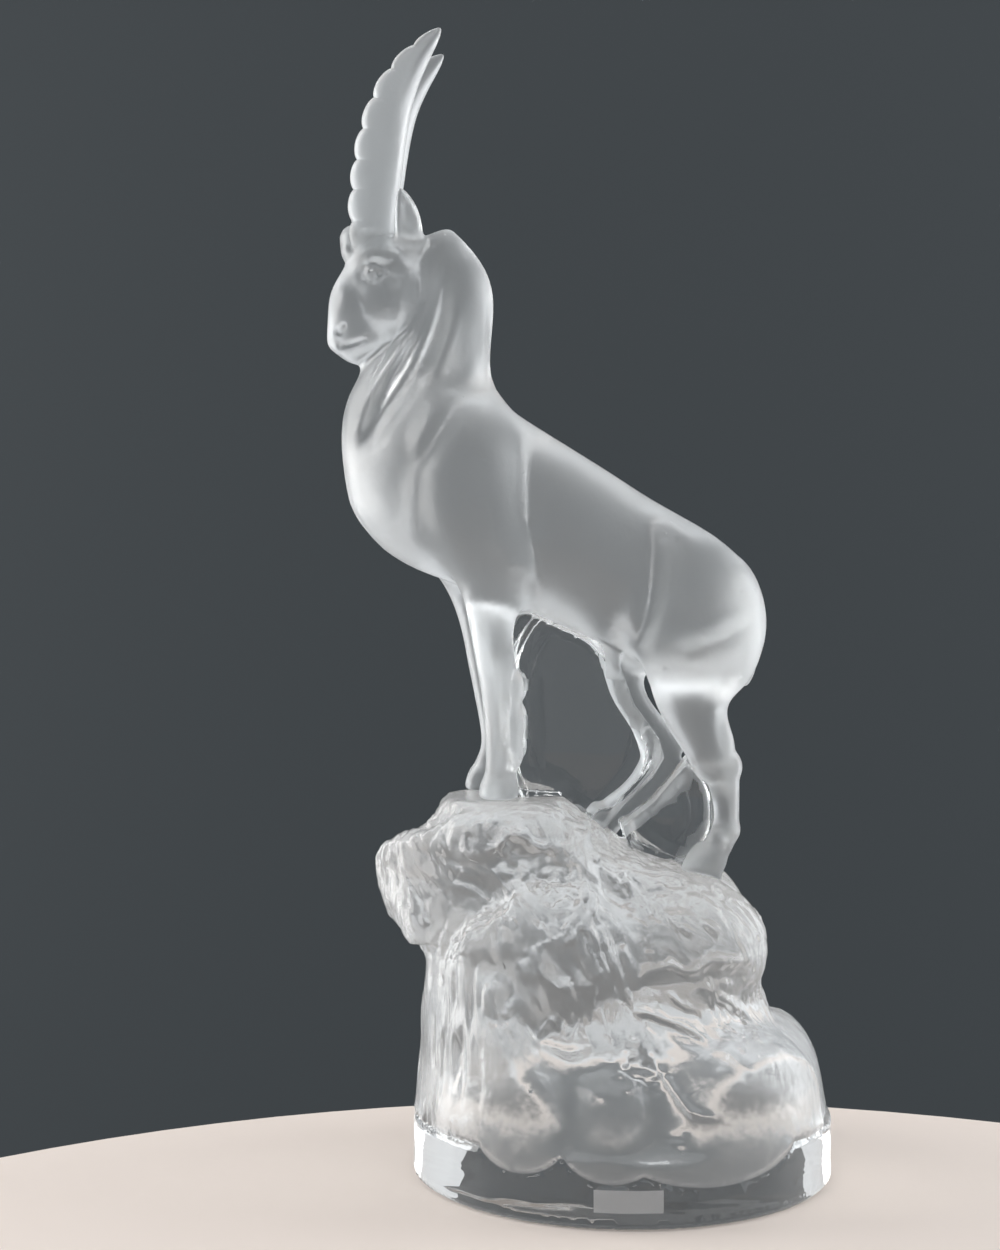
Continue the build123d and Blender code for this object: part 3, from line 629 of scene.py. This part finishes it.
# head: nose, cheek and jaw
stroke("head", [(4.2, 13.0, 2.8, 0.6), (3.4, 9.5, 2.6, 0.5)])
stroke("head", [(4.2, 16.8, 1.6, -0.3), (6.8, 13.2, 2.2, -0.7), (8.2, 8.6, 2.4, -0.6)])
stroke("head", [(13.0, 11.2, 4.0, 1.0)])
stroke("head", [(19.8, 18.0, 1.6, -0.6), (19.2, 11.0, 2.0, -1.2), (17.2, 6.8, 1.8, -1.2), (13.8, 4.4, 1.4, -0.7)])
# eye and brow
stroke("head", [(9.0, 17.4, 2.8, -0.9), (11.4, 17.6, 2.6, -0.7)])
stroke("head", [(6.8, 20.0, 1.5, 0.4), (10.0, 21.2, 1.7, 0.8), (13.2, 20.4, 1.4, 0.4)])
stroke("head", [(9.8, 17.5, 1.3, 1.0)], "dome")
stroke("head", [(8.3, 17.1, 0.6, 0.4), (9.1, 18.6, 0.65, 0.65), (10.5, 18.9, 0.65, 0.65),
                (12.8, 17.8, 0.6, 0.35)], "dome")
stroke("head", [(8.5, 16.8, 0.45, 0.2), (9.5, 15.9, 0.5, 0.3), (10.9, 16.2, 0.5, 0.3),
                (12.6, 17.5, 0.4, 0.2)], "dome")
# nostril and mouth
stroke("head", [(3.0, 6.3, 1.0, -0.9), (3.9, 7.2, 0.8, -0.5)], "dome")
stroke("head", [(3.2, 3.0, 0.9, -0.6), (5.6, 3.6, 1.0, -1.0), (8.0, 4.4, 0.9, -0.6)], "crease")
# the ears' hollows, and the curl on the brow with a small pit in it
stroke("ear_left", [(3.4, 3.6, 1.2, -0.3), (3.4, 8.5, 1.7, -0.8), (2.4, 13.0, 1.0, -0.3)])
brow_x, brow_z = corner("head")
ibex.sculpt(ball((brow_x + 5.2, 0, brow_z + 23.3), (2.2, 4.4, 2.5)), 0.9)
stroke("head", [(5.2, 23.3, 1.3, -0.6)])
# legs: knees, tendons, fetlocks
for name, side in SIDES.items():
    one = [name]
    stroke(f"fore_leg_{name}", [(14, 26, 3.4, 0.5)], sides=one)
    stroke(f"fore_leg_{name}", [(18.2, 24, 1.4, -0.3), (18.0, 14, 1.4, -0.5), (17.8, 7, 1.2, -0.3)], sides=one)
fore_x, fore_z = corner("fore_leg_left")
for lead, side in ((0.0, -1), (0.6, 1)):
    for back, up, radius in ((18.6, 18.4, 1.8), (18.7, 11.4, 1.6), (18.5, 5.2, 1.7)):
        ibex.sculpt(ball((fore_x + back - lead, side * 11.0, fore_z + up), (radius, radius * 1.3, radius * 1.8)), 1.2)
stroke("thigh_left", [(17.6, 21, 1.8, -0.4), (16.2, 14, 1.8, -0.6), (16.4, 8, 1.4, -0.4)], sides=["left"])
hock_x, hock_z = corner("hind_leg_left")
ibex.sculpt(ball((hock_x + 6.2, -11.0, hock_z + 18.6), (1.6, 2.2, 2.4)), 1.4)
ibex.sculpt(ball((hock_x + 5.4, -11.0, hock_z + 5.6), (2.0, 2.8, 2.2)), 1.2)

body_distance = ibex.distance.copy()
web_distance = np.full_like(body_distance, ibex.reach)
for name in WEB_NODES:
    part, distances = ibex.node(name)
    web_distance[part] = np.minimum(web_distance[part], distances)
ibex.distance = soft_least(body_distance, web_distance, 1.0)
body_mesh = ibex.mesh("ibex", 0.03)

satin, tree, shader = material("satin_crystal")
set_shader(shader, Base_Color=(0.95, 0.965, 0.97, 1), Roughness=0.36, IOR=1.52, Transmission_Weight=0.90)
bumps(tree, shader, [(0.004, 1.0, 2, (1, 1, 1)), (0.0005, 0.12, 1, (1, 1, 1))], 0.00012)

ibex_piece = bpy.data.objects.new("ibex", body_mesh)
bpy.context.scene.collection.objects.link(ibex_piece)
# The web is left clear, but where a leg stands behind it the satin runs over its face. Below 0 is clear.
finish = web_distance + WEB_EDGE - body_distance
ys = ibex.axes((0, 0, 0), ibex.distance.shape)[1].ravel()
for side in SIDES.values():
    leg_row = int(round(side * FAR_LEG_Y / BODY_STEP)) - ibex.first[1]
    rows = np.nonzero(side * ys <= 0)[0]
    finish[:, rows, :] = np.maximum(finish[:, rows, :], -body_distance[:, leg_row, :][:, None, :])
two_finishes(body_mesh, satin, clear, lambda spots: ibex.sample(finish, spots))
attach(ibex_piece, "root")
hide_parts(*[name for name, blend in BODY_FORMS], *WEB_NODES)

# ---------------------------------------------------------------- horns
# Two blade-shaped horns that lean back and apart, scalloped down the front by the year's growths. They are part of
# the casting, with the body's satin skin.

HORN_ROUTE = [              # each stop's share of the horn's length, height and sideways spread, root to tip
    (0.30, -0.02, 0.22),
    (0.28, 0.12, 0.27),
    (0.33, 0.30, 0.34),
    (0.37, 0.44, 0.42),
    (0.43, 0.57, 0.52),
    (0.52, 0.70, 0.63),
    (0.65, 0.80, 0.74),
    (0.79, 0.885, 0.85),
    (0.93, 0.955, 0.94),
    (0.985, 0.99, 0.99),
]


def link(tree, source, target):
    """Joins one node's socket to another's."""
    tree.links.new(source, target)


def math_node(tree, operation, *values):
    """A Math node, with numbers or sockets for its inputs."""
    node = tree.nodes.new("ShaderNodeMath")
    node.operation = operation
    for i, value in enumerate(values):
        if isinstance(value, (int, float)):
            node.inputs[i].default_value = value
        else:
            tree.links.new(value, node.inputs[i])
    return node.outputs[0]


def vector_node(tree, operation, *values):
    """A Vector Math node, with tuples or sockets for its inputs."""
    node = tree.nodes.new("ShaderNodeVectorMath")
    node.operation = operation
    for i, value in enumerate(values):
        if operation == "SCALE" and i == 1:
            tree.links.new(value, node.inputs["Scale"])
        elif isinstance(value, tuple):
            node.inputs[i].default_value = value
        else:
            tree.links.new(value, node.inputs[i])
    return node.outputs["Value"] if operation == "LENGTH" else node.outputs["Vector"]


horn_tree = bpy.data.node_groups.new("scalloped_horn", "GeometryNodeTree")
face = horn_tree.interface
face.new_socket("Route", in_out="INPUT", socket_type="NodeSocketGeometry")
for label, value in (("Depth", 0.0086), ("Thickness", 0.0062), ("Scallop", 0.0011)):
    face.new_socket(label, in_out="INPUT", socket_type="NodeSocketFloat").default_value = value
face.new_socket("Scallops", in_out="INPUT", socket_type="NodeSocketInt").default_value = 8
face.new_socket("Finish", in_out="INPUT", socket_type="NodeSocketMaterial")
face.new_socket("Horn", in_out="OUTPUT", socket_type="NodeSocketGeometry")
given = horn_tree.nodes.new("NodeGroupInput")
result = horn_tree.nodes.new("NodeGroupOutput")
resample = horn_tree.nodes.new("GeometryNodeResampleCurve")
resample.inputs["Count"].default_value = 220
link(horn_tree, given.outputs["Route"], resample.inputs["Curve"])
ring = horn_tree.nodes.new("GeometryNodeCurvePrimitiveCircle")
ring.inputs["Resolution"].default_value = 40
ring.inputs["Radius"].default_value = 0.001


def keep_on(tree, curve, sockets):
    """Stores values on a curve's points, so that the mesh swept from it still has them."""
    capture = tree.nodes.new("GeometryNodeCaptureAttribute")
    capture.domain = "POINT"
    for name, kind, source in sockets:
        capture.capture_items.new(kind, name)
        tree.links.new(source, capture.inputs[name])
    tree.links.new(curve, capture.inputs["Geometry"])
    return capture


along = horn_tree.nodes.new("GeometryNodeSplineParameter")
heading = horn_tree.nodes.new("GeometryNodeInputTangent")
where = horn_tree.nodes.new("GeometryNodeInputPosition")
route = keep_on(horn_tree, resample.outputs["Curve"], [
    ("Share", "FLOAT", along.outputs["Factor"]),
    ("Heading", "VECTOR", heading.outputs["Tangent"]),
    ("Centre", "VECTOR", where.outputs["Position"]),
])
round_share = horn_tree.nodes.new("GeometryNodeSplineParameter")
profile = keep_on(horn_tree, ring.outputs["Curve"], [("Round", "FLOAT", round_share.outputs["Factor"])])
sweep = horn_tree.nodes.new("GeometryNodeCurveToMesh")
sweep.inputs["Fill Caps"].default_value = True
link(horn_tree, route.outputs["Geometry"], sweep.inputs["Curve"])
link(horn_tree, profile.outputs["Geometry"], sweep.inputs["Profile Curve"])

angle = math_node(horn_tree, "MULTIPLY", profile.outputs["Round"], 2 * math.pi)
fore_share = math_node(horn_tree, "COSINE", angle)
side_share = math_node(horn_tree, "SINE", angle)
t = route.outputs["Share"]
# the blade is deepest a third of the way up and runs out to a blunt point
swell = math_node(horn_tree, "SINE", math_node(horn_tree, "MULTIPLY_ADD", t, 2.05, 0.85))
taper = math_node(horn_tree, "SUBTRACT", 1.0, math_node(horn_tree, "POWER", t, 5.0))
taper = math_node(horn_tree, "POWER", taper, 0.5)
blade = math_node(horn_tree, "MULTIPLY", math_node(horn_tree, "MULTIPLY_ADD", swell, 0.75, 0.35), taper)
# a scallop is a round arch between two sharp notches
wave = math_node(horn_tree, "SINE", math_node(
    horn_tree, "MULTIPLY", math_node(horn_tree, "MULTIPLY", t, given.outputs["Scallops"]), math.pi))
arch = math_node(horn_tree, "POWER", math_node(horn_tree, "ABSOLUTE", wave), 0.55)
front_only = math_node(horn_tree, "POWER", math_node(horn_tree, "MAXIMUM", fore_share, 0.0), 1.6)
growth = math_node(horn_tree, "MULTIPLY", arch, front_only)
growth = math_node(horn_tree, "MULTIPLY", growth, given.outputs["Scallop"])
growth = math_node(horn_tree, "MULTIPLY", growth, taper)
depth = math_node(horn_tree, "MULTIPLY", math_node(horn_tree, "MULTIPLY", given.outputs["Depth"], 0.5), blade)
fore_reach = math_node(horn_tree, "ADD", math_node(horn_tree, "MULTIPLY", depth, fore_share), growth)
thickness = math_node(horn_tree, "MULTIPLY", math_node(horn_tree, "MULTIPLY", given.outputs["Thickness"], 0.5), blade)
side_reach = math_node(horn_tree, "MULTIPLY", thickness, side_share)
fore_way = vector_node(horn_tree, "NORMALIZE", vector_node(
    horn_tree, "CROSS_PRODUCT", route.outputs["Heading"], (0.0, 1.0, 0.0)))
side_way = vector_node(horn_tree, "CROSS_PRODUCT", route.outputs["Heading"], fore_way)
place = vector_node(horn_tree, "ADD", vector_node(
    horn_tree, "ADD", route.outputs["Centre"], vector_node(horn_tree, "SCALE", fore_way, fore_reach)),
    vector_node(horn_tree, "SCALE", side_way, side_reach))
shape_it = horn_tree.nodes.new("GeometryNodeSetPosition")
link(horn_tree, sweep.outputs["Mesh"], shape_it.inputs["Geometry"])
link(horn_tree, place, shape_it.inputs["Position"])
solid = horn_tree.nodes.new("GeometryNodeRealizeInstances")
link(horn_tree, shape_it.outputs["Geometry"], solid.inputs["Geometry"])
coat = horn_tree.nodes.new("GeometryNodeSetMaterial")
link(horn_tree, solid.outputs["Geometry"], coat.inputs["Geometry"])
link(horn_tree, given.outputs["Finish"], coat.inputs["Material"])
link(horn_tree, coat.outputs["Geometry"], result.inputs["Horn"])

horn_socket = {item.name: item.identifier for item in face.items_tree if item.in_out == "INPUT"}
for name, side in (("left", -1), ("right", 1)):
    low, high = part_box(f"horn_{name}")
    near_y, far_y = (high.y, low.y) if side < 0 else (low.y, high.y)
    path = bpy.data.curves.new(f"horn_{name}_route", "CURVE")
    path.dimensions = "3D"
    spline = path.splines.new("NURBS")
    spline.points.add(len(HORN_ROUTE) - 1)
    for point, (share_x, share_z, share_y) in zip(spline.points, HORN_ROUTE):
        inset = 0.86 * share_y
        point.co = (low.x + share_x * (high.x - low.x), near_y + inset * (far_y - near_y),
                    low.z + share_z * (high.z - low.z), 1)
    spline.order_u = 4
    spline.use_endpoint_u = True
    spline.resolution_u = 16
    maker = bpy.data.objects.new(f"horn_{name}_maker", path)
    bpy.context.scene.collection.objects.link(maker)
    modifier = maker.modifiers.new("horn", "NODES")
    modifier.node_group = horn_tree
    modifier[horn_socket["Finish"]] = satin
    bpy.context.view_layer.update()
    depsgraph = bpy.context.evaluated_depsgraph_get()
    horn_mesh = bpy.data.meshes.new_from_object(maker.evaluated_get(depsgraph), depsgraph=depsgraph)
    horn_mesh.name = f"horn_{name}"
    bpy.data.objects.remove(maker)
    horn_mesh.shade_smooth()
    horn_piece = bpy.data.objects.new(f"horn_{name}_satin", horn_mesh)
    bpy.context.scene.collection.objects.link(horn_piece)
    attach(horn_piece, "root")
    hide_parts(f"horn_{name}")

# ---------------------------------------------------------------- stock label
# A small clear film, blank, stuck on the front of the base's wall. It is the part's own solid.

film, tree, shader = material("label_film")
set_shader(shader, Base_Color=(0.82, 0.83, 0.84, 1), Roughness=0.25, IOR=1.45, Transmission_Weight=0.75)
bumps(tree, shader, [(0.002, 1.0, 2, (1, 1, 1))], 0.00005)
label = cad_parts["stock_label"]
label.data.materials.clear()
label.data.materials.append(film)

# ---------------------------------------------------------------- floor and light
# A pale matt table, a dark slate room, and soft light from a tall window on the left and a panel overhead.

FLOOR_RADIUS = 0.20
FLOOR_SIDES = 96
FLOOR_BEHIND = 0.012        # how far its far edge is behind the base
FLOOR_BELOW = 0.0002        # the ground underside isn't optically joined to the table
floor_y = base_high.y + FLOOR_BEHIND - FLOOR_RADIUS
turns = [i * 2 * math.pi / FLOOR_SIDES for i in range(FLOOR_SIDES)]
rim_points = [(FLOOR_RADIUS * math.cos(turn), floor_y + FLOOR_RADIUS * math.sin(turn), -FLOOR_BELOW)
              for turn in turns]
floor_mesh = bpy.data.meshes.new("floor")
floor_mesh.from_pydata(rim_points, [], [list(range(FLOOR_SIDES))])
floor = bpy.data.objects.new("floor", floor_mesh)
bpy.context.scene.collection.objects.link(floor)
stone, tree, shader = material("pale_stone")
set_shader(shader, Base_Color=(0.74, 0.65, 0.59, 1), Roughness=0.55)
bumps(tree, shader, [(0.05, 1.0, 4, (1, 1, 1))], 0.0006)
floor_mesh.materials.append(stone)

BACKDROP_SIZE = (0.46, 0.50)
BACKDROP_BEHIND = 0.40      # from the object's middle
BACKDROP_RISE = 0.04        # its top is this much higher over the camera than its foot is below it
BACKDROP_SKIRT = 0.20       # how much wider it is at the foot, to each side
backdrop_mesh = bpy.data.meshes.new("backdrop")
left, right = camera.location.x - BACKDROP_SIZE[0] / 2, camera.location.x + BACKDROP_SIZE[0] / 2
foot, top = camera.location.z - BACKDROP_SIZE[1] / 2, camera.location.z + BACKDROP_SIZE[1] / 2 + BACKDROP_RISE
backdrop_mesh.from_pydata(
    [(left - BACKDROP_SKIRT, BACKDROP_BEHIND, foot), (right + BACKDROP_SKIRT, BACKDROP_BEHIND, foot),
     (right, BACKDROP_BEHIND, top), (left, BACKDROP_BEHIND, top)], [], [(0, 1, 2, 3)])
backdrop = bpy.data.objects.new("backdrop", backdrop_mesh)
bpy.context.scene.collection.objects.link(backdrop)
slate, tree, shader = material("slate_card")
set_shader(shader, Base_Color=(0.028, 0.034, 0.038, 1), Roughness=0.9)
backdrop_mesh.materials.append(slate)

world = bpy.data.worlds.new("soft_room")
bpy.context.scene.world = world
world.use_nodes = True
world.node_tree.nodes["Background"].inputs["Color"].default_value = (0.70, 0.72, 0.74, 1)
world.node_tree.nodes["Background"].inputs["Strength"].default_value = 1.0


def panel(name, place, aim, width, height, watts, colour):
    """A soft rectangular light at a place, turned to face a point."""
    data = bpy.data.lights.new(name, "AREA")
    data.shape = "RECTANGLE"
    data.size = width
    data.size_y = height
    data.energy = watts
    data.color = colour
    lamp = bpy.data.objects.new(name, data)
    lamp.location = place
    lamp.rotation_euler = (Vector(aim) - Vector(place)).to_track_quat("-Z", "Y").to_euler()
    bpy.context.scene.collection.objects.link(lamp)


LAMP_AIM = (0, 0, 0.12)      # the figurine's middle
panel("window", (-0.75, 0.15, 0.20), LAMP_AIM, 0.5, 0.8, 6.0, (1.0, 0.99, 0.97))
panel("overhead", (0.0, 0.1, 0.85), LAMP_AIM, 0.9, 0.7, 2.0, (0.96, 0.98, 1.0))
panel("right_window", (0.75, 0.10, 0.20), LAMP_AIM, 0.4, 0.8, 4.0, (0.95, 0.98, 1.0))

bpy.context.scene.view_settings.view_transform = "Standard"
bpy.context.view_layer.update()
